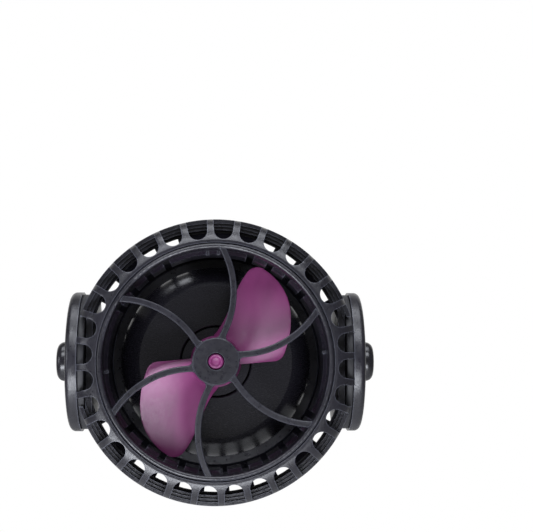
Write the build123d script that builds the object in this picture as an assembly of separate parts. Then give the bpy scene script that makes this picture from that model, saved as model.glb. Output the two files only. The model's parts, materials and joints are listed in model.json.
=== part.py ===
from build123d import *
import os
from math import cos, hypot, radians, sin

# Wave maker pump on a two-sided magnet mount, in millimetres.
# The origin is the centre of the glass face of the wet-side pad. +Y points through the glass to the dry
# side, +Z is up, and the pump blows towards -Y. "Depth" is the distance behind the front of the outlet rim.

# Main layout
PIVOT_Y = -100.0            # tilt axis, in front of the glass
PIVOT_DEPTH = 30.0          # tilt axis, behind the outlet rim
FRONT_Y = PIVOT_Y - PIVOT_DEPTH
CAGE_R = 50.0               # outer radius of both cages
RIBS = 32                   # ribs round each cage
RIB_PITCH = 360.0 / RIBS
FLAT_X = 45.3               # flat bottom of the round recesses for the ears, left and right
RECESS_R = 25.7
SLIDE_GAP = 0.3             # between faces that slide past each other
FIT_GAP = 0.05              # between pieces that are pressed or glued together

# Outlet grille
RIM_R, RIM_INNER_R, FLANGE_BACK = 40.7, 38.9, 1.8     # rounded bead at the front of the rim
SKIRT_R, RIM_BACK = 40.0, 7.5
RIM_ROUND = 0.85
SPOKES = 6
SPOKE_WIDTH = 2.2
SPOKE_ARC_R = 32.0
SPOKE_START_ANGLE = 17.5    # where a spoke leaves the hub
SPOKE_SWEEP = 59.0
SPOKE_ROOT = 9.0            # how far the spoke runs on under the hub
SPOKE_FRONT, SPOKE_BACK = 0.7, 4.7
HUB_R, HUB_HOLE_R, HUB_FRONT, HUB_BACK = 8.15, 3.0, 0.3, 5.6
HUB_FLARE = 1.6
EDGE = 0.3                  # small chamfer on moulded edges
LUGS = 3
LUG_R, LUG_ANGLE, LUG_FRONT, LUG_BACK = 40.8, 9.0, 5.6, 7.1
TWIST = 16.0                # bayonet turn from locked to free

# Front cage
COLLAR_INNER_R, COLLAR_R, COLLAR_FRONT, COLLAR_BACK = 40.3, 42.0, 0.4, 12.0
COLLAR_BACK_R = 42.6
SHOULDER_MID_R, SHOULDER_MID = 47.9, 4.2    # a point of the domed outside of the ribs
UNDERSIDE_MID_R, UNDERSIDE_MID = 46.2, 6.1  # and of their hollow underside
UNDERSIDE_ROOT = 4.0                        # depth where the underside meets the collar
REBATE_R, REBATE_BACK = 41.0, 2.1           # seat of the rim bead
GROOVE_R, GROOVE_FRONT, GROOVE_BACK = 41.1, 5.3, 7.4
NOTCH_DEEP_R = 40.9         # entry notches of the bayonet
FRONT_RIB_OFFSET = 2.5      # angle of the first front rib
FRONT_RIB_WIDTH = 2.1
BAND_FRONT, CAGE_JOIN = 9.6, 13.0
BAND_INNER_R, BAND_STEP = 46.4, 0.7
BAND_STEP_RADII = (47.5, 48.6)          # the band rises in two steps towards its outer edge
SLOT_BOTTOM_R, SLOT_END_R = 42.2, 3.3   # round inner end of each opening
CHEEK_THICK = 2.2

# Throat ring
THROAT_FRONT, THROAT_BACK = 7.9, 22.0
THROAT_R_FRONT, THROAT_R_BACK = 37.75, 37.5
THROAT_LIP_R, THROAT_LIP = 39.7, 2.3          # chamfer at the front of the blocks
STOP_ANGLES = (5.0, 88.75, 94.5, 185.5, 273.0)     # small stop ribs inside the throat
STOP_HEIGHT, STOP_ANGLE, STOP_FRONT, STOP_BACK = 0.4, 1.3, 8.5, 15.0
THROAT_OUTER_R, THROAT_TAIL_R = 40.25, 39.9
THROAT_FLANGE_R, THROAT_FLANGE_BACK = 42.6, 14.0
NOTCH_ANGLE = 3.75
NOTCH_R = 39.4
SIDE_PLAIN, TOP_PLAIN = 28.0, 17.5  # half-angles of the sectors without notches

# Intake cage
CAGE_WALL = 2.4
LEDGE_R, LEDGE_FRONT, LEDGE_BACK = 45.6, 14.2, 15.6     # inner ledge behind the band
CAGE_BEND = 28.0            # depth where the cage starts to curve in
CAGE_MID_R, CAGE_MID = 48.35, 41.0          # a point of the curve
CAGE_END_R, CAGE_END = 41.5, 52.0
FLANGE_THICK = 3.0
REAR_RIB_OFFSET = 4.4       # angle of the first rear rib
WINDOW_ANGLE = 7.5
WINDOW_FRONT, WINDOW_BACK = 16.0, 50.0
WINDOW_ROUND = 1.2
LATCH_WINDOWS = (3, 11, 19, 27)     # windows closed by a latch block
TOP_WINDOWS = (6, 7, 8)             # windows closed over the cable side
BOSS_R, BOSS_DEPTH = 11.0, 4.0      # side bosses for the pivot pins

# Motor housing
DRUM_R, FACE_R, FACE_DEPTH = 35.0, 27.8, 28.0
SHOULDER_DEPTH = 38.0
DRUM_SHOULDER_MID_R, DRUM_SHOULDER_MID = 33.2, 31.6     # a point of the rounded front edge
WELL_LIP_ROUND = 0.5
DRUM_BACK = CAGE_END + 2 * FLANGE_THICK
CAVITY_R, CAVITY_FRONT_R, CAVITY_FRONT = 31.5, 24.5, 31.0
WELL_R, WELL_WALL, WELL_BOTTOM = 12.9, 1.4, 54.5
SEAT_R, SEAT_BOTTOM = 5.0, 58.0
SEAL_R, SEAL_SECTION = 33.2, 0.9

# Rear cover
COVER_FLANGE_BACK = DRUM_BACK + 2.5
COVER_SHOULDER, COVER_BACK_R, COVER_BACK = 62.0, 27.0, 70.0
COVER_WALL = 2.5
POSTS, POST_R, POST_CIRCLE = 3, 2.2, 17.0
SCREWS, SCREW_CIRCLE, SCREW_R, SCREW_HEAD_R, SCREW_HEAD = 6, 38.4, 1.1, 2.1, 1.6
SCREW_BITE = 2.4            # depth of the screw holes in the cage flange

# Cable gland, on the sloping top of the rear cover
GLAND_TILT = 45.0
GLAND_HOLE_R, GLAND_R, GLAND_LENGTH = 4.2, 7.0, 8.0
GROMMET_R, CABLE_R = 3.9, 3.0

# Rotor and stator
SHAFT_R, SHAFT_FRONT = 2.0, 13.0
RUNNING_GAP = 0.05
ROTOR_R, ROTOR_FRONT, ROTOR_BACK = 12.4, 28.7, 53.5
ROTOR_BORE_R = 3.0
SPIGOT_R, SPIGOT_FRONT = 6.0, 25.0
MAGNET_INNER_R, MAGNET_R, MAGNET_FRONT, MAGNET_BACK = 5.5, 11.7, 31.0, 51.5
BUSH_LENGTH = 5.0
STATOR_TEETH = 6
STATOR_FRONT, STATOR_BACK = 36.0, 52.0
STATOR_R, STATOR_YOKE_R = 28.0, 23.5
SHOE_R, SHOE_THICK, SHOE_ANGLE = 14.7, 1.6, 44.0
TOOTH_WIDTH = 5.0
COIL_WIDTH, COIL_INNER_R, COIL_OUTER_R, COIL_OVERHANG = 11.0, 16.6, 22.4, 1.8
BOARD_R, BOARD_FRONT, BOARD_THICK = 22.0, 61.5, 1.6

# Propeller
PROP_HUB_R, PROP_FRONT = 9.0, 6.8
NOSE_R, NOSE_FRONT = 2.65, 0.9      # nose that shows in the hole of the grille hub
BLADES = 2
BLADE_FRONT, BLADE_BACK, BLADE_TURN = 8.0, 21.0, 104.0
BLADE_THICK = 1.7
BLADE_START_ANGLE = -8.0    # leading edge of the first blade

# Yoke
EAR_R, EAR_OUTER_X, EAR_INNER_X, EAR_ROUND = 25.2, 52.3, 48.1, 2.0
PAD_R, PAD_INNER_X = 24.4, 45.6
YOKE_REACH, YOKE_CORNER_R, ARM_HEIGHT = 62.0, 36.0, 24.0
HUB_BOSS_R, HUB_BOSS_BACK_Y = 14.0, -28.0
BUTTON_R, BUTTON_NECK_R, BUTTON_X, BUTTON_HEAD, BUTTON_DOME = 7.1, 5.2, 57.5, 3.6, 2.6
PIVOT_PIN_R = 3.9

# Magnet mount
GLASS = 10.0
PUCK_R, PUCK_LENGTH, PUCK_WALL_R = 27.0, 23.5, 24.0
PUCK_PAD_R, PUCK_PAD = 26.5, 3.0
PUCK_MAGNET_R, PUCK_MAGNET = 22.5, 12.0
PUCK_LID = 2.2
PUCK_ROUND = 4.0
SWIVEL_R, SWIVEL_HEAD_R, SWIVEL_HEAD = 5.0, 8.0, 3.8
SWIVEL_SCREW_DEPTH = 8.0
GRIPS, GRIP_GROOVE_R, GRIP_PROUD = 24, 1.6, 0.9   # finger grooves, centred just outside the case
GRIP_MARGIN = 5.0           # plain length at each end of the grooves
SWIVEL_HEX_R, SWIVEL_HEX = 3.0, 2.2


# ---------- helpers ----------

def turned(points):
    """A solid of revolution about the pump axis, from (radius, depth) corners."""
    outline = Polyline([(r, FRONT_Y + depth) for r, depth in points], close=True)
    return revolve(make_face(outline), Axis.Y)


def turned_face(*edges):
    """A solid of revolution about the pump axis, from edges drawn as (radius, y)."""
    return revolve(make_face(list(edges)), Axis.Y)


def ring(inner, outer, front, back):
    """A plain ring round the pump axis between two depths."""
    return turned([(inner, front), (outer, front), (outer, back), (inner, back)])


def rod(radius, front, back):
    """A plain cylinder on the pump axis between two depths."""
    return facing(Circle(radius), front, back)


def facing(sketch, front, back):
    """A sketch seen from the front (x right, y up), extruded between two depths."""
    plane = Plane(origin=(0, FRONT_Y + front, 0), x_dir=(1, 0, 0), z_dir=(0, -1, 0))
    return extrude(plane * sketch, amount=front - back)


def around(angle, shape):
    """Turn a shape about the pump axis, counter-clockwise as seen from the front."""
    return Rot(0, -angle, 0) * shape


def at_depth(x, depth, z):
    return Pos(x, FRONT_Y + depth, z)


def sector(inner, outer, angle):
    """A flat ring sector centred on the +X direction."""
    half = angle / 2
    reach = outer / cos(radians(half)) + 1
    wedge = Polyline((0, 0), (reach * cos(radians(half)), -reach * sin(radians(half))),
                     (reach * cos(radians(half)), reach * sin(radians(half))), close=True)
    return make_face(wedge) & (Circle(outer) - Circle(inner))


def puck_rod(radius, y_front, y_back):
    """A cylinder on the mount axis between two y positions."""
    return Pos(0, (y_front + y_back) / 2, 0) * Rot(90, 0, 0) * Cylinder(radius, y_back - y_front)


def side_rod(radius, x_near, x_far, side):
    """A cylinder on the tilt axis, on the left (side -1) or right (side 1)."""
    middle = side * (x_near + x_far) / 2
    return Pos(middle, PIVOT_Y, 0) * Rot(0, 90, 0) * Cylinder(radius, x_far - x_near)


# ---------- outlet grille ----------

def spoke_sketch():
    start_x = HUB_R * cos(radians(SPOKE_START_ANGLE))
    start_y = HUB_R * sin(radians(SPOKE_START_ANGLE))
    arc = CenterArc((start_x, start_y + SPOKE_ARC_R), SPOKE_ARC_R, -90 - SPOKE_ROOT,
                    SPOKE_SWEEP + SPOKE_ROOT)
    return trace(arc, SPOKE_WIDTH)


def make_outlet_grille():
    rim = turned([(RIM_INNER_R, 0), (RIM_R, 0), (RIM_R, FLANGE_BACK), (SKIRT_R, FLANGE_BACK),
                  (SKIRT_R, RIM_BACK), (RIM_INNER_R, RIM_BACK)])
    rim = fillet(rim.faces().sort_by(Axis.Y)[0].edges(), RIM_ROUND)
    star = Circle(HUB_R)
    for k in range(SPOKES):
        star += Rot(0, 0, k * 360 / SPOKES) * spoke_sketch()
    roots = [v for v in star.vertices() if abs(hypot(v.X, v.Y) - HUB_R) < 0.1]
    star = fillet(roots, HUB_FLARE)
    star = star & Circle((RIM_INNER_R + SKIRT_R) / 2)
    spokes = facing(star, SPOKE_FRONT, SPOKE_BACK)
    spokes = chamfer(spokes.faces().sort_by(Axis.Y)[0].edges(), EDGE)
    hub = rod(HUB_R, HUB_FRONT, HUB_BACK)
    hub = chamfer(hub.faces().sort_by(Axis.Y)[0].edges(), EDGE)
    grille = rim + spokes + hub - rod(HUB_HOLE_R, -1, HUB_BACK + 1)
    for k in range(LUGS):
        lug = facing(sector(SKIRT_R - 0.5, LUG_R, LUG_ANGLE), LUG_FRONT, LUG_BACK)
        grille += around(90 + k * 360 / LUGS, lug)
    return grille


# ---------- cages ----------

def cage_slab(side):
    """The half-space that keeps one flat cheek: from CHEEK_THICK inside the flat outwards."""
    width = 30.0
    return Pos(side * (FLAT_X - CHEEK_THICK + width / 2), FRONT_Y + 40, 0) * Box(width, 120, 120)


def ear_recesses():
    """The round recesses in both sides of the cages that the ears of the yoke sit in."""
    return [side_rod(RECESS_R, FLAT_X, CAGE_R + 5, side) for side in (-1, 1)]


def front_outline():
    """The outer shoulder of the front cage, from the flat ring to the widest point."""
    start = (COLLAR_R, FRONT_Y + COLLAR_FRONT)
    end = (CAGE_R, FRONT_Y + BAND_FRONT + 2 * BAND_STEP)
    return start, end, ThreePointArc(start, (SHOULDER_MID_R, FRONT_Y + SHOULDER_MID), end)


def front_profile():
    """Section of the front cage: collar, domed shoulder and stepped outer band in one piece."""
    start, end, shoulder = front_outline()
    band, join, rebate = FRONT_Y + BAND_FRONT, FRONT_Y + CAGE_JOIN, FRONT_Y + REBATE_BACK
    step_2, step_1 = BAND_STEP_RADII
    root = (COLLAR_BACK_R, FRONT_Y + UNDERSIDE_ROOT)
    inner = ThreePointArc((step_1, band), (UNDERSIDE_MID_R, FRONT_Y + UNDERSIDE_MID), root)
    outside = Polyline(end, (CAGE_R, join), (BAND_INNER_R, join), (BAND_INNER_R, band + 2 * BAND_STEP),
                       (step_2, band + 2 * BAND_STEP), (step_2, band + BAND_STEP),
                       (step_1, band + BAND_STEP), (step_1, band))
    collar = Polyline(root, (COLLAR_BACK_R, FRONT_Y + COLLAR_BACK),
                      (COLLAR_INNER_R, FRONT_Y + COLLAR_BACK), (COLLAR_INNER_R, rebate),
                      (REBATE_R, rebate), (REBATE_R, FRONT_Y + COLLAR_FRONT), start)
    return turned_face(shoulder, outside, inner, collar)


def band_cheek(side):
    """Closes the outer band across the flat, left or right."""
    band = ring(FLAT_X - CHEEK_THICK, CAGE_R, BAND_FRONT + 2 * BAND_STEP, CAGE_JOIN)
    return band & cage_slab(side)


def front_slot():
    """One U-shaped opening between two front ribs, at +X."""
    mouth_r = CAGE_R + 3
    mouth = (mouth_r * radians(RIB_PITCH) - FRONT_RIB_WIDTH) / 2
    centre = SLOT_BOTTOM_R + SLOT_END_R
    sides = Polyline((centre, -SLOT_END_R), (mouth_r, -mouth), (mouth_r, mouth),
                     (centre, SLOT_END_R), close=True)
    sketch = make_face(sides) + Pos(centre, 0) * Circle(SLOT_END_R)
    return facing(sketch, -1, BAND_FRONT)


def bayonet_tools():
    """The groove that the grille lugs turn in, and the notches that let them in."""
    tools = [ring(COLLAR_INNER_R - 1, GROOVE_R, GROOVE_FRONT, GROOVE_BACK)]
    notch = facing(sector(COLLAR_INNER_R - 1, NOTCH_DEEP_R, LUG_ANGLE + 2), REBATE_BACK - 0.5,
                   GROOVE_FRONT + 0.5)
    for k in range(LUGS):
        tools.append(around(90 + TWIST + k * 360 / LUGS, notch))
    return tools


def make_front_cage():
    slot = front_slot()
    slots = [around(FRONT_RIB_OFFSET + (k + 0.5) * RIB_PITCH, slot) for k in range(RIBS)]
    cage = front_profile() - bayonet_tools() - slots
    for side in (-1, 1):
        cage += band_cheek(side)
    return cage - ear_recesses()


def make_throat_ring():
    body = turned([(THROAT_LIP_R, THROAT_FRONT), (THROAT_OUTER_R, THROAT_FRONT),
                   (THROAT_OUTER_R, COLLAR_BACK), (THROAT_FLANGE_R, COLLAR_BACK),
                   (THROAT_FLANGE_R, THROAT_FLANGE_BACK), (THROAT_TAIL_R, THROAT_FLANGE_BACK),
                   (THROAT_TAIL_R, THROAT_BACK), (THROAT_R_BACK, THROAT_BACK),
                   (THROAT_R_FRONT, THROAT_FRONT + THROAT_LIP)])
    notch = facing(sector(THROAT_R_BACK - 2, NOTCH_R, NOTCH_ANGLE), 0, THROAT_BACK + 1)
    notches = []
    for k in range(RIBS):
        angle = REAR_RIB_OFFSET + k * RIB_PITCH
        on_side = abs(cos(radians(angle))) > cos(radians(SIDE_PLAIN))
        on_top = sin(radians(angle)) > cos(radians(TOP_PLAIN))
        if not (on_side or on_top):
            notches.append(around(angle, notch))
    body -= notches
    stop = facing(sector(THROAT_R_FRONT - STOP_HEIGHT, THROAT_R_FRONT + 1, STOP_ANGLE),
                  STOP_FRONT, STOP_BACK)
    return body + [around(angle, stop) for angle in STOP_ANGLES]


def cage_arc(offset):
    """The curve of the intake cage towards the motor, moved inwards by offset."""
    start = (CAGE_R - offset, FRONT_Y + CAGE_BEND)
    end = (CAGE_END_R - offset, FRONT_Y + CAGE_END)
    return start, end, ThreePointArc(start, (CAGE_MID_R - offset, FRONT_Y + CAGE_MID), end)


def intake_solid(offset, front):
    """The whole space inside the intake cage wall, moved inwards by offset."""
    start, end, arc = cage_arc(offset)
    inner_r = DRUM_R + FIT_GAP
    rest = Polyline(end, (inner_r, FRONT_Y + CAGE_END), (inner_r, FRONT_Y + front),
                    (start[0], FRONT_Y + front), start)
    return turned_face(arc, rest)


def window_tool():
    tool = facing(sector(DRUM_R + 1.5, CAGE_R + 5, WINDOW_ANGLE), WINDOW_FRONT, WINDOW_BACK)
    corners = [e for e in tool.edges() if abs(e.length - (CAGE_R + 3.5 - DRUM_R)) < 0.2]
    return fillet(corners, WINDOW_ROUND)


def make_intake_cage():
    wall = intake_solid(0, CAGE_JOIN)
    start, end, arc = cage_arc(CAGE_WALL)
    past_end, before = FRONT_Y + CAGE_END + 1, FRONT_Y
    wall -= turned_face(arc, Polyline(end, (end[0], past_end), (DRUM_R - 1, past_end),
                                      (DRUM_R - 1, before), (start[0], before), start))
    wall += ring(LEDGE_R, CAGE_R - CAGE_WALL / 2, LEDGE_FRONT, LEDGE_BACK)
    tool = window_tool()
    closed = LATCH_WINDOWS + TOP_WINDOWS
    wall -= [around(REAR_RIB_OFFSET + (k + 0.5) * RIB_PITCH, tool)
             for k in range(RIBS) if k not in closed]
    inside = intake_solid(0, CAGE_JOIN)
    for side in (-1, 1):
        boss = side_rod(BOSS_R, FLAT_X - BOSS_DEPTH, FLAT_X, side)
        wall += (inside & cage_slab(side)) + boss
        wall -= side_rod(PIVOT_PIN_R + FIT_GAP, FLAT_X - BOSS_DEPTH - 1, FLAT_X + 6, side)
    return wall - ear_recesses()


def make_cage_screw_ring():
    """The flange welded to the back of the intake cage; the cover screws bite into its blind holes."""
    flange = ring(DRUM_R + FIT_GAP, CAGE_END_R, CAGE_END, CAGE_END + FLANGE_THICK)
    hole = at_depth(SCREW_CIRCLE, CAGE_END + FLANGE_THICK, 0) * Rot(90, 0, 0) * Cylinder(
        SCREW_R, 2 * SCREW_BITE)
    return flange - [around(k * 360 / SCREWS, hole) for k in range(SCREWS)]


# ---------- motor housing and cover ----------

def make_motor_housing():
    face = (FACE_R, FRONT_Y + FACE_DEPTH)
    shoulder_end = (DRUM_R, FRONT_Y + SHOULDER_DEPTH)
    shoulder = ThreePointArc(face, (DRUM_SHOULDER_MID_R, FRONT_Y + DRUM_SHOULDER_MID), shoulder_end)
    flange = CAGE_END + FLANGE_THICK
    rest = Polyline(shoulder_end, (DRUM_R, FRONT_Y + flange), (CAGE_END_R, FRONT_Y + flange),
                    (CAGE_END_R, FRONT_Y + DRUM_BACK), (0, FRONT_Y + DRUM_BACK),
                    (0, FRONT_Y + FACE_DEPTH), face)
    drum = turned_face(shoulder, rest)
    drum -= turned([(0, CAVITY_FRONT), (CAVITY_FRONT_R, CAVITY_FRONT), (CAVITY_R, SHOULDER_DEPTH),
                    (CAVITY_R, DRUM_BACK + 1), (0, DRUM_BACK + 1)])
    drum += rod(WELL_R + WELL_WALL, FACE_DEPTH, WELL_BOTTOM + WELL_WALL)
    drum += rod(SEAT_R + WELL_WALL, WELL_BOTTOM, SEAT_BOTTOM + WELL_WALL)
    drum -= rod(WELL_R, FACE_DEPTH - 1, WELL_BOTTOM)
    drum -= rod(SEAT_R, WELL_BOTTOM - 1, SEAT_BOTTOM)
    lip = [e for e in drum.edges().filter_by(GeomType.CIRCLE)
           if abs(e.radius - WELL_R) < 0.01 and abs(e.center().Y - FRONT_Y - FACE_DEPTH) < 0.01]
    drum = fillet(lip, WELL_LIP_ROUND)
    drum -= ring(SEAL_R - 1, SEAL_R + 1, DRUM_BACK - 2 * SEAL_SECTION, DRUM_BACK + 1)
    for k in range(SCREWS):
        drum -= around(k * 360 / SCREWS, at_depth(SCREW_CIRCLE, DRUM_BACK - 1.5, 0)
                       * Rot(90, 0, 0) * Cylinder(SCREW_R, FLANGE_THICK + 1))
    return drum


def gland_place(height):
    """The gland axis, which leaves the middle of the sloping shoulder upwards and backwards."""
    middle_r = (DRUM_R + COVER_BACK_R) / 2
    middle_depth = (COVER_SHOULDER + COVER_BACK) / 2
    along = height * sin(radians(GLAND_TILT))
    return at_depth(0, middle_depth + along, middle_r + along) * Rot(-GLAND_TILT, 0, 0)


def make_rear_cover():
    w = COVER_WALL
    cover = turned([(0, DRUM_BACK), (CAGE_END_R, DRUM_BACK), (CAGE_END_R, COVER_FLANGE_BACK),
                    (DRUM_R, COVER_FLANGE_BACK), (DRUM_R, COVER_SHOULDER),
                    (COVER_BACK_R, COVER_BACK), (0, COVER_BACK)])
    cover -= turned([(0, DRUM_BACK - 1), (CAVITY_R, DRUM_BACK - 1), (CAVITY_R, COVER_SHOULDER - 1),
                     (COVER_BACK_R - 2, COVER_BACK - w), (0, COVER_BACK - w)])
    for k in range(POSTS):
        post = at_depth(0, (BOARD_FRONT + BOARD_THICK + COVER_BACK - 1) / 2, POST_CIRCLE)
        length = COVER_BACK - 1 - BOARD_FRONT - BOARD_THICK
        cover += around(60 + k * 360 / POSTS, post * Rot(90, 0, 0) * Cylinder(POST_R, length))
    for k in range(SCREWS):
        cover -= around(k * 360 / SCREWS, at_depth(SCREW_CIRCLE, DRUM_BACK + 1, 0)
                        * Rot(90, 0, 0) * Cylinder(SCREW_R, 4))
    cover += gland_place(0.0) * Cylinder(GLAND_R + 1, 3.0)
    cover -= gland_place(0.0) * Cylinder(GLAND_HOLE_R + FIT_GAP, 12.0)
    return cover


def make_cable_gland():
    """Hexagonal gland nut with its threaded neck through the cover."""
    nut = gland_place(1.5) * extrude(RegularPolygon(GLAND_R, 6), GLAND_LENGTH)
    nut = fillet(nut.faces().sort_by(Axis((0, 0, 0), (0, 1, 1)))[-1].edges(), 0.8)
    neck = gland_place(-2.0) * extrude(Circle(GLAND_HOLE_R), 4.0)
    bore = gland_place(-3.0) * extrude(Circle(GROMMET_R + FIT_GAP - 0.3), 2 * GLAND_LENGTH)
    return nut + neck - bore


def make_gland_grommet():
    outer = GROMMET_R - 0.3
    tube = gland_place(-2.0) * extrude(Circle(outer) - Circle(CABLE_R), GLAND_LENGTH + 3.5)
    lip = gland_place(GLAND_LENGTH + 1.5) * extrude(Circle(outer + 0.9) - Circle(CABLE_R), 1.2)
    return tube + lip


def make_housing_screws():
    head_front = COVER_FLANGE_BACK
    tip = CAGE_END + FLANGE_THICK - SCREW_BITE + 0.2
    shank = at_depth(SCREW_CIRCLE, (tip + head_front) / 2, 0) * Rot(90, 0, 0) * Cylinder(
        SCREW_R - FIT_GAP, head_front - tip)
    head = at_depth(SCREW_CIRCLE, head_front + SCREW_HEAD / 2, 0) * Rot(90, 0, 0) * Cylinder(
        SCREW_HEAD_R, SCREW_HEAD)
    socket = at_depth(SCREW_CIRCLE, head_front + SCREW_HEAD, 0) * Rot(90, 0, 0)
    screw = shank + head - socket * extrude(RegularPolygon(0.9, 6), 0.9, both=True)
    return Compound([around(k * 360 / SCREWS, screw) for k in range(SCREWS)])


def make_housing_seal():
    centre = at_depth(SEAL_R, DRUM_BACK - SEAL_SECTION, 0)
    return revolve(centre * Circle(SEAL_SECTION - 0.02), Axis.Y)


# ---------- stator and electronics ----------

def make_stator_core():
    yoke = Circle(STATOR_R) - Circle(STATOR_YOKE_R)
    for k in range(STATOR_TEETH):
        tooth = Pos((SHOE_R + STATOR_YOKE_R + 1) / 2 + 0.4, 0) * Rectangle(
            STATOR_YOKE_R + 0.2 - SHOE_R, TOOTH_WIDTH)
        shoe = sector(SHOE_R, SHOE_R + SHOE_THICK, SHOE_ANGLE)
        yoke += Rot(0, 0, k * 360 / STATOR_TEETH) * (tooth + shoe)
    return facing(yoke, STATOR_FRONT, STATOR_BACK)


def make_stator_coils():
    front, back = STATOR_FRONT - COIL_OVERHANG, STATOR_BACK + COIL_OVERHANG
    middle = (COIL_INNER_R + COIL_OUTER_R) / 2
    block = facing(Pos(middle, 0) * Rectangle(COIL_OUTER_R - COIL_INNER_R, COIL_WIDTH), front, back)
    block = fillet(block.edges().filter_by(Axis.X), 1.5)
    slot = facing(Pos(middle, 0) * Rectangle(STATOR_R, TOOTH_WIDTH + 2 * FIT_GAP),
                  STATOR_FRONT - FIT_GAP, STATOR_BACK + FIT_GAP)
    coil = block - slot
    return Compound([around(k * 360 / STATOR_TEETH, coil) for k in range(STATOR_TEETH)])


def make_potting():
    inner, outer = STATOR_R + FIT_GAP, CAVITY_R - FIT_GAP
    well = WELL_R + WELL_WALL + FIT_GAP
    seat = SEAT_R + WELL_WALL + FIT_GAP
    floor = STATOR_BACK + COIL_OVERHANG + 0.2
    back = WELL_BOTTOM + WELL_WALL + FIT_GAP
    return turned([(inner, SHOULDER_DEPTH + 0.5), (outer, SHOULDER_DEPTH + 0.5), (outer, 58.0),
                   (seat, 58.0), (seat, back), (well, back), (well, floor), (inner, floor)])


def make_driver_board():
    board = rod(BOARD_R, BOARD_FRONT, BOARD_FRONT + BOARD_THICK)
    return board - at_depth(0, BOARD_FRONT, 19.5) * Rot(90, 0, 0) * Cylinder(1.2, 6)


def make_board_components():
    """Two capacitors, the driver chip and the plug of the stator leads, on the back of the board."""
    back = BOARD_FRONT + BOARD_THICK
    capacitor = Rot(-90, 0, 0) * extrude(Circle(2.5), 3.6)
    pieces = [at_depth(x, back, 9.0) * capacitor for x in (-7.5, 7.5)]
    pieces.append(at_depth(0, back + 0.5, -2.0) * Box(7.0, 1.0, 7.0))
    pieces.append(at_depth(0, back + 1.6, -11.5) * Box(9.0, 3.2, 4.0))
    return Compound(pieces)


# ---------- rotor and propeller ----------

def make_ceramic_shaft():
    shaft = rod(SHAFT_R, SHAFT_FRONT, SEAT_BOTTOM - 0.8)
    return chamfer(shaft.edges().filter_by(GeomType.CIRCLE), 0.4)


def make_shaft_seat():
    """Rubber cup that holds the end of the shaft in the bottom of the well."""
    back = SEAT_BOTTOM - 0.8
    return turned([(SHAFT_R, WELL_BOTTOM), (SEAT_R, WELL_BOTTOM), (SEAT_R, SEAT_BOTTOM),
                   (0, SEAT_BOTTOM), (0, back), (SHAFT_R, back)])


def make_thrust_washer():
    return ring(SHAFT_R, 4.5, ROTOR_BACK + RUNNING_GAP, WELL_BOTTOM)


def make_rotor_sleeve():
    shell = turned([(ROTOR_BORE_R, SPIGOT_FRONT), (SPIGOT_R, SPIGOT_FRONT), (SPIGOT_R, ROTOR_FRONT),
                    (ROTOR_R, ROTOR_FRONT), (ROTOR_R, ROTOR_BACK), (ROTOR_BORE_R, ROTOR_BACK)])
    return shell - ring(MAGNET_INNER_R, MAGNET_R, MAGNET_FRONT, MAGNET_BACK)


def make_rotor_magnet():
    return ring(MAGNET_INNER_R + FIT_GAP, MAGNET_R - FIT_GAP, MAGNET_FRONT, MAGNET_BACK)


def make_bush(front):
    return ring(SHAFT_R + RUNNING_GAP, ROTOR_BORE_R, front, front + BUSH_LENGTH)


def blade_outline():
    """Outline of one blade seen from the front: a straight leading edge near the horizontal, a broad
    rounded back, and a nearly straight trailing edge that returns to the hub."""
    lead = Line((5.0, -1.3), (20.4, 0.1))
    corner = ThreePointArc((20.4, 0.1), (22.9, 1.2), (24.2, 3.4))
    back = Spline((24.2, 3.4), (26.4, 13.2), (25.2, 23.0), (19.6, 31.0), (17.4, 32.7))
    tip = ThreePointArc((17.4, 32.7), (14.4, 33.7), (11.6, 32.4))
    trail = Spline((11.6, 32.4), (9.2, 29.0), (5.6, 21.0), (-0.8, 9.4))
    return make_face([lead, corner, back, tip, trail, Line((-0.8, 9.4), (5.0, -1.3))])


def make_blade():
    """A screw surface of even thickness along the axis, cut to the outline."""
    depth = BLADE_BACK - BLADE_FRONT
    thick_angle = 360 * BLADE_THICK / (360 * depth / BLADE_TURN)
    plane = Plane(origin=(0, FRONT_Y + BLADE_FRONT, 0), x_dir=(1, 0, 0), z_dir=(0, -1, 0))
    start = plane * (Rot(0, 0, BLADE_START_ANGLE - thick_angle / 2) * sector(5.0, 38.0, thick_angle))
    screw = Solid.extrude_linear_with_rotation(start.face(), plane.origin, Vector(0, depth, 0),
                                               -BLADE_TURN)
    return screw & facing(blade_outline(), BLADE_FRONT - 1, BLADE_BACK + 1)


def make_propeller():
    hub = turned([(0, NOSE_FRONT + 1.1), (1.2, NOSE_FRONT + 0.9), (1.8, NOSE_FRONT + 0.2),
                  (2.1, NOSE_FRONT), (NOSE_R, NOSE_FRONT + 0.4), (NOSE_R, PROP_FRONT - 0.4),
                  (3.6, PROP_FRONT + 0.2), (6.0, PROP_FRONT + 0.9), (8.0, PROP_FRONT + 2.2),
                  (PROP_HUB_R, PROP_FRONT + 4.8),
                  (PROP_HUB_R, ROTOR_FRONT), (SPIGOT_R + FIT_GAP, ROTOR_FRONT),
                  (SPIGOT_R + FIT_GAP, SPIGOT_FRONT), (SHAFT_R + 0.3, SPIGOT_FRONT),
                  (SHAFT_R + 0.3, SHAFT_FRONT - 1), (0, SHAFT_FRONT - 1)])
    propeller = hub
    core = rod(SPIGOT_R + 1.0, PROP_FRONT, ROTOR_FRONT + 1)
    for k in range(BLADES):
        propeller += around(k * 360 / BLADES, make_blade() - core)
    return propeller


# ---------- yoke and tilt pivot ----------

def yoke_outline(inset):
    """Top view of the yoke's outer face, moved inwards: two arms and a round-cornered bow."""
    half = EAR_OUTER_X - inset
    back = PIVOT_Y + YOKE_REACH + EAR_OUTER_X - EAR_INNER_X - inset
    front = PIVOT_Y - YOKE_REACH
    block = Pos(0, (front + back) / 2) * Rectangle(2 * half, back - front)
    corners = block.vertices().group_by(Axis.Y)[-1]
    return fillet(corners, YOKE_CORNER_R + EAR_OUTER_X - EAR_INNER_X - inset)


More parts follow.
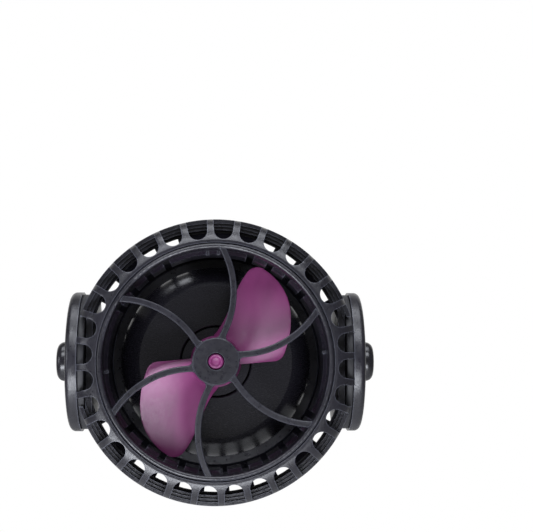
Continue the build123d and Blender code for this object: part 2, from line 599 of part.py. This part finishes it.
def make_ear(side):
    ear = side_rod(EAR_R, EAR_INNER_X, EAR_OUTER_X, side)
    outer_rim = ear.edges().filter_by(GeomType.CIRCLE).sort_by(Axis.X)[-1 if side > 0 else 0]
    return fillet(outer_rim, EAR_ROUND)


def make_yoke():
    thick = EAR_OUTER_X - EAR_INNER_X
    strap = yoke_outline(0) - yoke_outline(thick)
    strap -= Pos(0, PIVOT_Y - YOKE_REACH / 2) * Rectangle(4 * EAR_OUTER_X, YOKE_REACH)
    yoke = extrude(strap, ARM_HEIGHT / 2, both=True)
    for side in (-1, 1):
        yoke += make_ear(side)
    yoke += puck_rod(HUB_BOSS_R, PIVOT_Y + YOKE_REACH, HUB_BOSS_BACK_Y)
    yoke -= puck_rod(SWIVEL_R + RUNNING_GAP, PIVOT_Y, 0)
    yoke -= puck_rod(SWIVEL_HEAD_R + SLIDE_GAP, PIVOT_Y, PIVOT_Y + YOKE_REACH + SWIVEL_HEAD)
    for side in (-1, 1):
        yoke -= side_rod(BUTTON_NECK_R + RUNNING_GAP, PAD_INNER_X, EAR_OUTER_X + 1, side)
    return yoke


def make_pivot_pad(side):
    pad = side_rod(PAD_R, PAD_INNER_X, EAR_INNER_X, side)
    return pad - side_rod(BUTTON_NECK_R + SLIDE_GAP, PAD_INNER_X - 1, EAR_INNER_X + 1, side)


def make_pivot_button(side):
    """Domed head outside the ear, a plain neck through it, and a pin pressed into the cage boss."""
    head_near = BUTTON_X - BUTTON_HEAD
    head = side_rod(BUTTON_R, head_near, BUTTON_X, side)
    rim = head.edges().filter_by(GeomType.CIRCLE).sort_by(Axis.X)[-1 if side > 0 else 0]
    head = fillet(rim, BUTTON_DOME)
    neck = side_rod(BUTTON_NECK_R, FLAT_X, head_near, side)
    pin = side_rod(PIVOT_PIN_R, FLAT_X - BOSS_DEPTH, FLAT_X, side)
    return head + neck + pin


# ---------- magnet mount ----------

def puck_case(y_open, direction):
    """A round case open towards the glass; direction is +1 when the opening faces +Y."""
    y_closed = y_open - direction * PUCK_LENGTH
    low, high = min(y_open, y_closed), max(y_open, y_closed)
    case = puck_rod(PUCK_R, low, high)
    closed_face = case.faces().sort_by(Axis.Y)[0 if direction > 0 else -1]
    case = fillet(closed_face.edges(), PUCK_ROUND)
    deep = y_open - direction * (PUCK_LID + PUCK_MAGNET + 0.2)
    mouth = y_open - direction * PUCK_LID
    case -= puck_rod(PUCK_MAGNET_R + 0.1, min(deep, y_open), max(deep, y_open))
    case -= puck_rod(PUCK_WALL_R, min(mouth, y_open), max(mouth, y_open))
    return case


def make_inner_magnet_case():
    case = puck_case(-PUCK_PAD, 1)
    front = -PUCK_PAD - PUCK_LENGTH
    case -= puck_rod(SWIVEL_R - 1.0, front - 1, front + SWIVEL_SCREW_DEPTH)
    return case


def make_outer_magnet_case():
    """Dry-side case with finger grips round its side."""
    case = puck_case(GLASS + PUCK_PAD, -1)
    groove = Pos(PUCK_R + GRIP_PROUD, GLASS + PUCK_PAD + PUCK_LENGTH / 2, 0) * Rot(90, 0, 0) * Cylinder(
        GRIP_GROOVE_R, PUCK_LENGTH - 2 * GRIP_MARGIN)
    for k in range(GRIPS):
        case -= around(k * 360 / GRIPS, groove)
    return case


def puck_disc(radius, near, thickness, direction):
    """A disc that starts near the glass and grows away from it, on one side of the glass."""
    start = near if direction < 0 else GLASS + near
    end = start + thickness if direction > 0 else -near - thickness
    low, high = (end, -near) if direction < 0 else (start, end)
    return puck_rod(radius, low, high)


def make_pad(direction):
    return puck_disc(PUCK_PAD_R, 0, PUCK_PAD, direction)


def make_lid(direction):
    return puck_disc(PUCK_WALL_R - FIT_GAP, PUCK_PAD, PUCK_LID, direction)


def make_magnet(direction):
    return puck_disc(PUCK_MAGNET_R, PUCK_PAD + PUCK_LID, PUCK_MAGNET, direction)


def make_swivel_pin():
    """Shouldered screw that holds the yoke to the case and lets it turn."""
    front = PIVOT_Y + YOKE_REACH
    head = puck_rod(SWIVEL_HEAD_R, front, front + SWIVEL_HEAD - SLIDE_GAP)
    head -= Pos(0, front, 0) * Rot(90, 0, 0) * extrude(
        RegularPolygon(SWIVEL_HEX_R, 6), SWIVEL_HEX, both=True)
    case_front = -PUCK_PAD - PUCK_LENGTH
    shank = puck_rod(SWIVEL_R, front + SWIVEL_HEAD - SLIDE_GAP, case_front)
    thread = puck_rod(SWIVEL_R - 1.0 - FIT_GAP, case_front, case_front + SWIVEL_SCREW_DEPTH - 0.5)
    return head + shank + thread


def make_swivel_washer():
    front, back = HUB_BOSS_BACK_Y + 0.1, -PUCK_PAD - PUCK_LENGTH
    return puck_rod(HUB_BOSS_R - 1, front, back) - puck_rod(SWIVEL_R + SLIDE_GAP, front - 1, back + 1)


# ---------- nodes ----------

nodes = {
    "outlet_grille": make_outlet_grille(),
    "front_cage": make_front_cage(),
    "throat_ring": make_throat_ring(),
    "intake_cage": make_intake_cage(),
    "cage_screw_ring": make_cage_screw_ring(),
    "motor_housing": make_motor_housing(),
    "rear_cover": make_rear_cover(),
    "housing_screws": make_housing_screws(),
    "housing_seal": make_housing_seal(),
    "cable_gland": make_cable_gland(),
    "gland_grommet": make_gland_grommet(),
    "stator_core": make_stator_core(),
    "stator_coils": make_stator_coils(),
    "potting": make_potting(),
    "driver_board": make_driver_board(),
    "board_components": make_board_components(),
    "ceramic_shaft": make_ceramic_shaft(),
    "shaft_seat": make_shaft_seat(),
    "thrust_washer": make_thrust_washer(),
    "propeller": make_propeller(),
    "rotor_sleeve": make_rotor_sleeve(),
    "rotor_magnet": make_rotor_magnet(),
    "front_bush": make_bush(ROTOR_FRONT),
    "rear_bush": make_bush(ROTOR_BACK - BUSH_LENGTH),
    "yoke": make_yoke(),
    "swivel_pin": make_swivel_pin(),
    "swivel_washer": make_swivel_washer(),
    "inner_magnet_case": make_inner_magnet_case(),
    "inner_magnet": make_magnet(-1),
    "inner_case_lid": make_lid(-1),
    "inner_pad": make_pad(-1),
    "outer_magnet_case": make_outer_magnet_case(),
    "outer_magnet": make_magnet(1),
    "outer_case_lid": make_lid(1),
    "outer_pad": make_pad(1),
}
for name, side in (("left", -1), ("right", 1)):
    nodes["pivot_pad_" + name] = make_pivot_pad(side)
    nodes["pivot_button_" + name] = make_pivot_button(side)

os.makedirs("parts", exist_ok=True)
for name, shape in nodes.items():
    export_step(shape, "parts/" + name + ".step")
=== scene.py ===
import json
from math import radians

import bpy
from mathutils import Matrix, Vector


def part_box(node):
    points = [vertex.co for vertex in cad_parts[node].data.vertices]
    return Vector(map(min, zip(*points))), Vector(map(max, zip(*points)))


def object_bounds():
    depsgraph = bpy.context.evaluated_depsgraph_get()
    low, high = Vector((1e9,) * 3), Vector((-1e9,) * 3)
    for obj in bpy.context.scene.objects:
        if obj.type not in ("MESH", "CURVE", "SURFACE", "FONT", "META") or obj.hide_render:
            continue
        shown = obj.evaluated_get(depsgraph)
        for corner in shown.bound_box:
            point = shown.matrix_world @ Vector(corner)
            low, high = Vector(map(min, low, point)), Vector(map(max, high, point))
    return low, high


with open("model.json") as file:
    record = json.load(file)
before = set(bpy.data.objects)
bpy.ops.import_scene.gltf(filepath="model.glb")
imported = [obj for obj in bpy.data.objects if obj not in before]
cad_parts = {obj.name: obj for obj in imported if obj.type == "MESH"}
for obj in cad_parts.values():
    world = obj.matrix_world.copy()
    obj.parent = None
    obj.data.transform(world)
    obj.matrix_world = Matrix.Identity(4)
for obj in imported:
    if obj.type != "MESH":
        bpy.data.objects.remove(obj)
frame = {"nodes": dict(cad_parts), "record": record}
cad_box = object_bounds()
MM = 0.001

# ---------- measures of the scene ----------

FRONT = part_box("outlet_grille")[0].y    # front plane of the outlet rim
FLOOR_Z = cad_box[0][2] - 0.32
FLOOR_SIDE = 1.8

CAMERA_DISTANCE = 0.420                 # in front of the outlet rim
CAMERA_RIGHT = 2.36                     # degrees the camera is turned right of the pump axis
CAMERA_UP = 4.46                        # degrees it is turned up
LENS = 82.7                             # focal length in mm on a sensor 36 mm wide
SENSOR_WIDTH = 36

LIGHT_COLOR = (0.90, 0.93, 1.0)
WORLD_FRONT, WORLD_BACK = 0.20, 1.0     # brightness of the surroundings in front and behind
FADE_START, FADE_END = 0.60, 0.90       # Y of the view direction over which one fades to the other

NOISE_LOW, NOISE_HIGH = 0.3, 0.7        # nearly all noise values lie between these two
WAVES_PER_UNIT = 3.2                    # bands the wave texture draws in one unit of length

EDGE_HIGHLIGHT_COLOR = (0.085, 0.088, 0.110)      # painted highlight along the edges of the satin plastic
EDGE_HIGHLIGHT_WIDTH = 0.4 * MM                   # how far that painted highlight reaches from an edge
FLAT_FACING, EDGE_FACING = 0.99, 0.80   # cosine between true and rounded normal, off and on an edge
BEVEL_SAMPLES = 4

WELD_DISTANCE = 0.002 * MM              # mesh points closer than this are joined before rounding
EDGE_ANGLE = 35                         # degrees between faces from which an edge is rounded
EDGE_SEGMENTS = 2


# ---------- node helpers ----------

def new_material(name, color, roughness, metallic=0.0):
    """A material with a Principled shader and object coordinates in metres."""
    material = bpy.data.materials.new(name)
    material.use_nodes = True
    tree = material.node_tree
    shader = tree.nodes["Principled BSDF"]
    shader.inputs["Base Color"].default_value = (*color, 1)
    shader.inputs["Roughness"].default_value = roughness
    shader.inputs["Metallic"].default_value = metallic
    coords = tree.nodes.new("ShaderNodeTexCoord")
    return material, tree, shader, coords.outputs["Object"]


def noise(tree, vector, feature, detail=2.0, roughness=0.5):
    """Noise whose features are about the given size in metres."""
    node = tree.nodes.new("ShaderNodeTexNoise")
    node.inputs["Scale"].default_value = 1 / feature
    node.inputs["Detail"].default_value = detail
    node.inputs["Roughness"].default_value = roughness
    tree.links.new(vector, node.inputs["Vector"])
    return node.outputs["Fac"]


def stretched(tree, vector, scale):
    """The same coordinates stretched along the axes."""
    node = tree.nodes.new("ShaderNodeMapping")
    node.inputs["Scale"].default_value = scale
    tree.links.new(vector, node.inputs["Vector"])
    return node.outputs["Vector"]


def ramp(tree, value, low, high, color_low, color_high):
    """A colour that runs between two colours as the value runs from low to high."""
    node = tree.nodes.new("ShaderNodeValToRGB")
    first, last = node.color_ramp.elements
    first.position, first.color = low, (*color_low, 1)
    last.position, last.color = high, (*color_high, 1)
    tree.links.new(value, node.inputs["Fac"])
    return node.outputs["Color"]


def span(tree, value, low, high, to_low, to_high):
    """A number that runs between to_low and to_high as the value runs from low to high."""
    node = tree.nodes.new("ShaderNodeMapRange")
    for socket, number in zip(("From Min", "From Max", "To Min", "To Max"), (low, high, to_low, to_high)):
        node.inputs[socket].default_value = number
    tree.links.new(value, node.inputs["Value"])
    return node.outputs["Result"]


def bump(tree, height, depth, normal=None):
    """A bump of the given depth in metres, laid over another normal if one is given."""
    node = tree.nodes.new("ShaderNodeBump")
    node.inputs["Distance"].default_value = depth
    node.inputs["Strength"].default_value = 1.0
    tree.links.new(height, node.inputs["Height"])
    if normal is not None:
        tree.links.new(normal, node.inputs["Normal"])
    return node.outputs["Normal"]


def vary_color(tree, shader, pattern, dark, pale, low=NOISE_LOW, high=NOISE_HIGH):
    """Let the base colour run from dark to pale with a pattern."""
    tree.links.new(ramp(tree, pattern, low, high, dark, pale), shader.inputs["Base Color"])


def vary_roughness(tree, shader, pattern, smooth, rough, low=NOISE_LOW, high=NOISE_HIGH):
    """Let the roughness run from smooth to rough with a pattern."""
    tree.links.new(span(tree, pattern, low, high, smooth, rough), shader.inputs["Roughness"])


def painted_edge_highlight(tree, surface, highlight_color, width):
    """The surface colour with a painted highlight: a paler line of the given width along sharp edges."""
    rounded = tree.nodes.new("ShaderNodeBevel")
    rounded.samples = BEVEL_SAMPLES
    rounded.inputs["Radius"].default_value = width
    flat = tree.nodes.new("ShaderNodeNewGeometry")
    facing = tree.nodes.new("ShaderNodeVectorMath")
    facing.operation = "DOT_PRODUCT"
    tree.links.new(rounded.outputs["Normal"], facing.inputs[0])
    tree.links.new(flat.outputs["True Normal"], facing.inputs[1])
    mix = tree.nodes.new("ShaderNodeMix")
    mix.data_type = "RGBA"
    # mask of the painted edge highlight
    highlight_mask = span(tree, facing.outputs["Value"], FLAT_FACING, EDGE_FACING, 0.0, 1.0)
    tree.links.new(highlight_mask, mix.inputs["Factor"])
    tree.links.new(surface, mix.inputs["A"])
    mix.inputs["B"].default_value = (*highlight_color, 1)
    return mix.outputs["Result"]


def scaled(color, factor):
    """The colour made brighter or darker by a factor."""
    return tuple(channel * factor for channel in color)


# ---------- materials ----------

def satin_plastic():
    """Moulded plastic with a fine spark-eroded grain and faint handling marks."""
    color, rough = (0.0066, 0.0062, 0.0096), 0.31
    material, tree, shader, place = new_material("satin_plastic", color, rough)
    patches = noise(tree, place, 9 * MM, 3)
    tint = ramp(tree, patches, NOISE_LOW, NOISE_HIGH, scaled(color, 0.8), scaled(color, 1.3))
    # painted highlight: a paler line along the sharp edges of the satin plastic
    tint = painted_edge_highlight(tree, tint, EDGE_HIGHLIGHT_COLOR, EDGE_HIGHLIGHT_WIDTH)
    tree.links.new(tint, shader.inputs["Base Color"])
    marks = noise(tree, place, 1.6 * MM, 4, 0.7)
    vary_roughness(tree, shader, marks, rough - 0.07, rough + 0.1)
    coarse = bump(tree, noise(tree, place, 0.8 * MM, 2, 0.6), 0.05 * MM)
    grain = noise(tree, place, 0.3 * MM, 2, 0.6)
    tree.links.new(bump(tree, grain, 0.035 * MM, coarse), shader.inputs["Normal"])
    return material


def gloss_plastic():
    """Polished moulded plastic with a trace of orange peel and fine rubbed marks."""
    color, rough = (0.008, 0.0075, 0.0105), 0.2
    material, tree, shader, place = new_material("gloss_plastic", color, rough)
    patches = noise(tree, place, 14 * MM, 2)
    vary_color(tree, shader, patches, scaled(color, 0.8), scaled(color, 1.3))
    rubbed = noise(tree, stretched(tree, place, (1.0, 1.0, 7.0)), 1.1 * MM, 4, 0.75)
    vary_roughness(tree, shader, rubbed, rough, rough + 0.13, 0.35, 0.75)
    peel = noise(tree, place, 1.8 * MM, 1)
    tree.links.new(bump(tree, peel, 0.004 * MM), shader.inputs["Normal"])
    return material


def propeller_plastic():
    """Magenta plastic, satin to glossy, with slow flow marks from moulding."""
    color = (0.140, 0.021, 0.092)
    material, tree, shader, place = new_material("propeller_plastic", color, 0.4)
    flow = noise(tree, stretched(tree, place, (1.0, 1.0, 0.4)), 8 * MM, 3)
    vary_color(tree, shader, flow, scaled(color, 0.85), scaled(color, 1.2))
    marks = noise(tree, place, 1.2 * MM, 3, 0.7)
    vary_roughness(tree, shader, marks, 0.36, 0.48)
    peel = noise(tree, place, 0.9 * MM, 2)
    tree.links.new(bump(tree, peel, 0.008 * MM), shader.inputs["Normal"])
    return material


def rubber(name, color, rough=0.72):
    """Moulded rubber with a dry, slightly dusty surface."""
    material, tree, shader, place = new_material(name, color, rough)
    dust = noise(tree, place, 2.4 * MM, 5, 0.7)
    vary_color(tree, shader, dust, color, scaled(color, 1.8), 0.35, 0.75)
    vary_roughness(tree, shader, dust, rough - 0.1, rough + 0.12)
    pores = noise(tree, place, 0.35 * MM, 3, 0.7)
    tree.links.new(bump(tree, pores, 0.03 * MM), shader.inputs["Normal"])
    return material


def steel():
    """Turned stainless steel with fine brushing across the pump axis."""
    color = (0.52, 0.52, 0.53)
    material, tree, shader, place = new_material("steel", color, 0.28, 1.0)
    brush = noise(tree, stretched(tree, place, (1, 14, 1)), 0.6 * MM, 4, 0.7)
    vary_color(tree, shader, brush, scaled(color, 0.8), scaled(color, 1.15))
    vary_roughness(tree, shader, brush, 0.2, 0.4)
    tree.links.new(bump(tree, brush, 0.006 * MM), shader.inputs["Normal"])
    return material


def ceramic():
    """Ground white ceramic with faint grey speckles."""
    color = (0.78, 0.77, 0.73)
    material, tree, shader, place = new_material("ceramic_white", color, 0.2)
    speckle = noise(tree, place, 0.5 * MM, 4, 0.8)
    vary_color(tree, shader, speckle, scaled(color, 0.75), color, 0.25, 0.5)
    vary_roughness(tree, shader, speckle, 0.15, 0.3)
    tree.links.new(bump(tree, speckle, 0.004 * MM), shader.inputs["Normal"])
    return material


def layered(name, color, rough, metallic, pitch):
    """Thin layers across the pump axis with darker gaps: laminations or turns of wire."""
    material, tree, shader, place = new_material(name, color, rough, metallic)
    layers = tree.nodes.new("ShaderNodeTexWave")
    layers.bands_direction = "Y"
    layers.inputs["Scale"].default_value = 1 / (pitch * WAVES_PER_UNIT)
    layers.inputs["Distortion"].default_value = 0.4
    tree.links.new(place, layers.inputs["Vector"])
    vary_color(tree, shader, layers.outputs["Fac"], scaled(color, 0.35), color, 0.1, 0.6)
    tree.links.new(bump(tree, layers.outputs["Fac"], 0.1 * MM), shader.inputs["Normal"])
    blotch = noise(tree, place, 3 * MM, 3)
    vary_roughness(tree, shader, blotch, rough - 0.08, rough + 0.12)
    return material


def mottled(name, color, rough, feature, metallic=0.0):
    """A plain cast, coated or plated surface with uneven tone."""
    material, tree, shader, place = new_material(name, color, rough, metallic)
    cloud = noise(tree, place, feature, 4, 0.6)
    vary_color(tree, shader, cloud, scaled(color, 0.7), scaled(color, 1.25))
    vary_roughness(tree, shader, cloud, rough - 0.08, rough + 0.1)
    tree.links.new(bump(tree, cloud, 0.03 * MM), shader.inputs["Normal"])
    return material


MATERIALS = {
    "satin_plastic": satin_plastic(),
    "gloss_plastic": gloss_plastic(),
    "propeller_plastic": propeller_plastic(),
    "black_rubber": rubber("black_rubber", (0.012, 0.012, 0.013)),
    "pad_rubber": rubber("pad_rubber", (0.009, 0.009, 0.011), 0.6),
    "steel": steel(),
    "ceramic_white": ceramic(),
    "lamination": layered("lamination", (0.16, 0.17, 0.18), 0.4, 0.8, 0.5 * MM),
    "copper": layered("copper", (0.62, 0.24, 0.09), 0.3, 0.9, 0.4 * MM),
    "resin": mottled("resin", (0.015, 0.015, 0.017), 0.35, 6 * MM),
    "circuit_board": mottled("circuit_board", (0.01, 0.09, 0.035), 0.3, 4 * MM),
    "component": mottled("component", (0.02, 0.02, 0.022), 0.5, 2 * MM),
    "magnet_nickel": mottled("magnet_nickel", (0.55, 0.54, 0.5), 0.25, 5 * MM, 1.0),
}


def dress_nodes():
    """Give every CAD node the material of its slot."""
    for part in frame["record"]["subparts"]:
        mesh = frame["nodes"][part["node"]].data
        if not mesh.materials:
            mesh.materials.append(None)
        for index in range(len(mesh.materials)):
            mesh.materials[index] = MATERIALS[part["material_slot"]]


def soften(node, width):
    """Round the moulded edges of a CAD node."""
    piece = frame["nodes"][node]
    weld = piece.modifiers.new("weld", "WELD")
    weld.merge_threshold = WELD_DISTANCE
    edge = piece.modifiers.new("edge", "BEVEL")
    edge.width = width
    edge.segments = EDGE_SEGMENTS
    edge.limit_method = "ANGLE"
    edge.angle_limit = radians(EDGE_ANGLE)
    edge.use_clamp_overlap = True
    edge.harden_normals = True


EDGES = {                               # width of the rounded moulded edges that show
    "front_cage": 0.3 * MM,
    "outlet_grille": 0.3 * MM,
    "throat_ring": 0.25 * MM,
    "intake_cage": 0.3 * MM,
    "cage_screw_ring": 0.3 * MM,
    "motor_housing": 0.4 * MM,
    "rear_cover": 0.5 * MM,
    "cable_gland": 0.25 * MM,
    "propeller": 0.5 * MM,
    "yoke": 0.7 * MM,
    "pivot_pad_left": 0.4 * MM,
    "pivot_pad_right": 0.4 * MM,
    "inner_magnet_case": 0.4 * MM,
    "outer_magnet_case": 0.4 * MM,
    "inner_pad": 0.4 * MM,
    "outer_pad": 0.4 * MM,
}


# ---------- stage, light and camera ----------

def make_stage():
    """A plain pale floor under the object, which hangs from its mount."""
    bpy.ops.mesh.primitive_plane_add(size=FLOOR_SIDE, location=(0, 0, FLOOR_Z))
    floor = bpy.context.object
    floor.name = "floor"
    material, tree, shader, place = new_material("floor_paint", (0.86, 0.86, 0.86), 0.7)
    cloud = noise(tree, place, 400 * MM, 2)
    vary_color(tree, shader, cloud, (0.84, 0.84, 0.84), (0.88, 0.88, 0.88))
    floor.data.materials.append(material)


SOFTBOXES = {                           # place from the middle of the outlet, width, height, watts
    "low_softbox": ((-0.10, -0.36, -0.27), 0.60, 0.16, 4.4),
    "top_softbox": ((0.00, -0.32, 0.34), 0.60, 0.16, 2.4),
    "overhead_softbox": ((0.0, -0.04, 0.50), 0.60, 0.22, 2.0),
    "left_softbox": ((-0.50, -0.12, 0.04), 0.12, 0.20, 0.4),
}


def make_light(name, place, width, height, watts):
    """A cool softbox at a place relative to the middle of the outlet, aimed at it."""
    data = bpy.data.lights.new(name, "AREA")
    data.shape = "RECTANGLE"
    data.size, data.size_y = width, height
    data.energy = watts
    data.color = LIGHT_COLOR
    lamp = bpy.data.objects.new(name, data)
    bpy.context.scene.collection.objects.link(lamp)
    lamp.location = Vector((0, FRONT, 0)) + Vector(place)
    lamp.rotation_euler = (-Vector(place)).to_track_quat("-Z", "Y").to_euler()


def make_world():
    """A white cyclorama behind the object that falls off to grey in front of it."""
    world = bpy.data.worlds.new("studio")
    world.use_nodes = True
    tree = world.node_tree
    background = tree.nodes["Background"]
    coords = tree.nodes.new("ShaderNodeTexCoord")
    parts = tree.nodes.new("ShaderNodeSeparateXYZ")
    tree.links.new(coords.outputs["Generated"], parts.inputs["Vector"])
    level = span(tree, parts.outputs["Y"], FADE_START, FADE_END, WORLD_FRONT, WORLD_BACK)
    tree.links.new(level, background.inputs["Strength"])
    background.inputs["Color"].default_value = (1, 1, 1, 1)
    bpy.context.scene.world = world
    bpy.context.scene.view_settings.view_transform = "Standard"


def make_camera():
    """On the pump axis, turned a little right and up so the pump sits low and left in the view."""
    data = bpy.data.cameras.new("camera")
    data.lens = LENS
    data.sensor_width = SENSOR_WIDTH
    data.clip_start = 0.01
    camera = bpy.data.objects.new("camera", data)
    bpy.context.scene.collection.objects.link(camera)
    camera.location = (0, FRONT - CAMERA_DISTANCE, 0)
    camera.rotation_euler = (radians(90 + CAMERA_UP), 0, radians(-CAMERA_RIGHT))
    bpy.context.scene.camera = camera


dress_nodes()
for name, width in EDGES.items():
    soften(name, width)
make_stage()
make_world()
for name, softbox in SOFTBOXES.items():
    make_light(name, *softbox)
make_camera()
